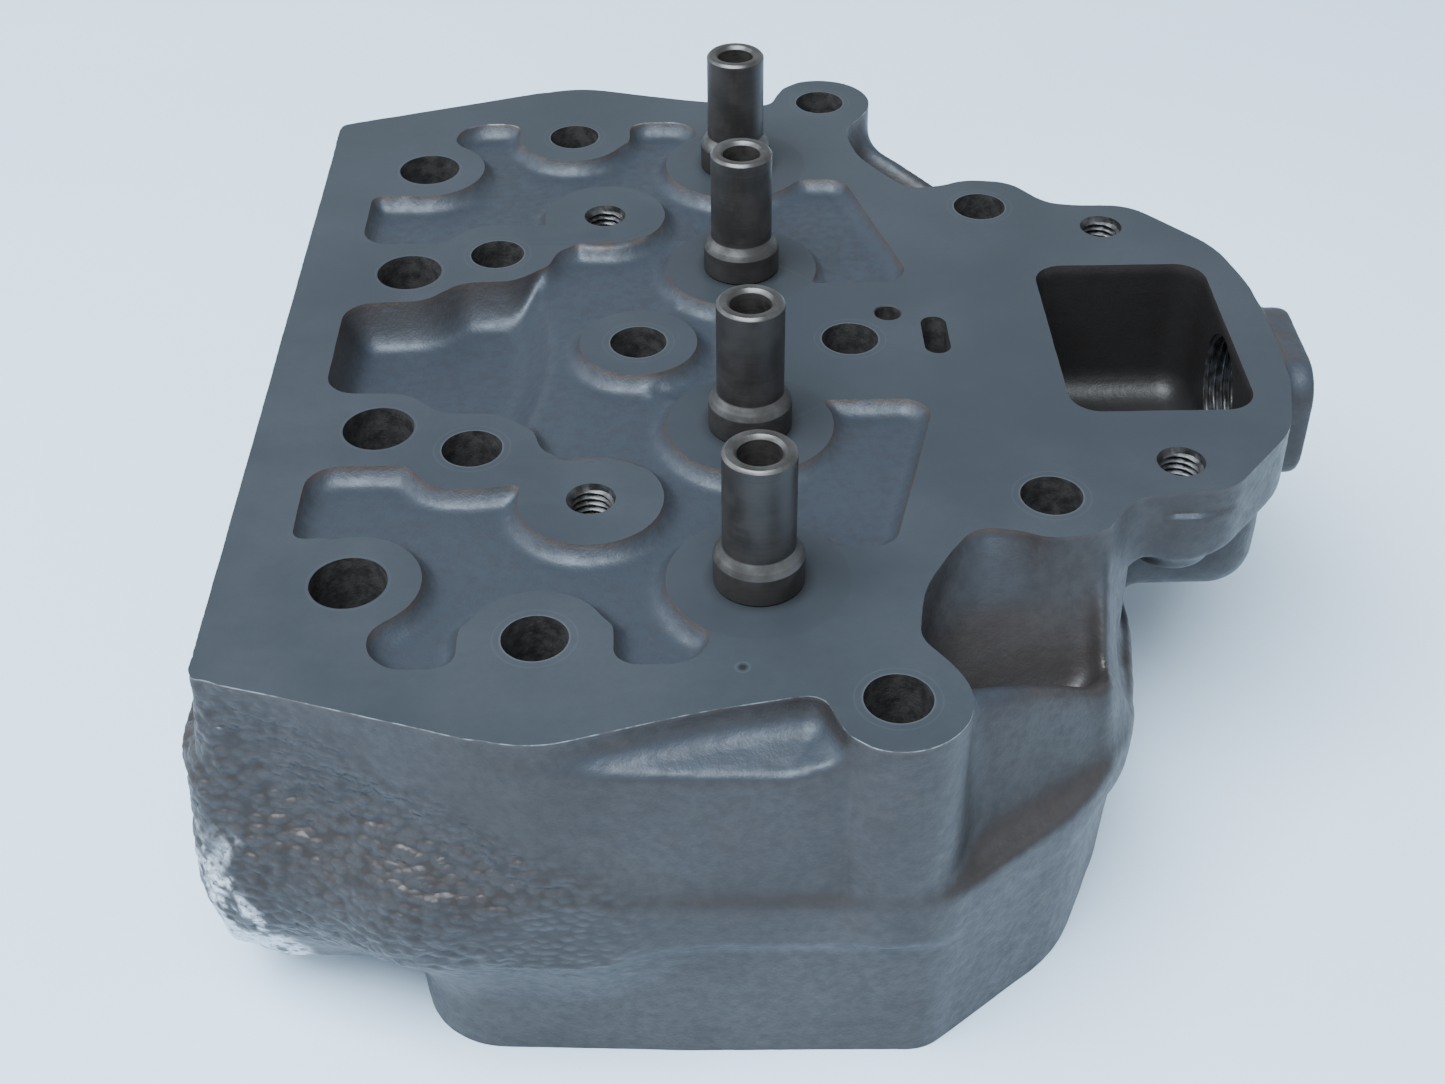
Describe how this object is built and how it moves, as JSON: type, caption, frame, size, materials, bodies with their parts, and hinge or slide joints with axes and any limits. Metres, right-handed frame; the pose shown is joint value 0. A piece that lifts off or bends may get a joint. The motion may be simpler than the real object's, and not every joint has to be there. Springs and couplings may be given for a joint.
{
  "type": "cylinder head",
  "caption": "Bare cast-iron cylinder head with shouldered valve guides, cast rocker-face pockets, side gas ports and a coolant outlet block.",
  "frame": {"origin": "centre of the deck (combustion) face", "axes": "+X toward the coolant outlet block, +Y along the crank axis toward the far end, +Z from the deck face to the rocker face"},
  "size_m": [0.274, 0.3062, 0.1393],
  "materials": {
    "cast_iron": "machined satin faces, rough cast walls",
    "guide_iron": "turned",
    "seat_steel": "ground",
    "plug_steel": "pressed, satin"
  },
  "bodies": {
    "root": {"head_casting": "cast_iron", "exhaust_guide_near": "guide_iron", "intake_guide_near": "guide_iron", "intake_guide_far": "guide_iron", "exhaust_guide_far": "guide_iron", "exhaust_seat_near": "seat_steel", "intake_seat_near": "seat_steel", "intake_seat_far": "seat_steel", "exhaust_seat_far": "seat_steel", "manifold_core_plug_near": "plug_steel", "manifold_core_plug_far": "plug_steel", "outlet_core_plug_near": "plug_steel", "outlet_core_plug_far": "plug_steel", "oil_gallery_plug": "plug_steel"}
  },
  "joints": []
}
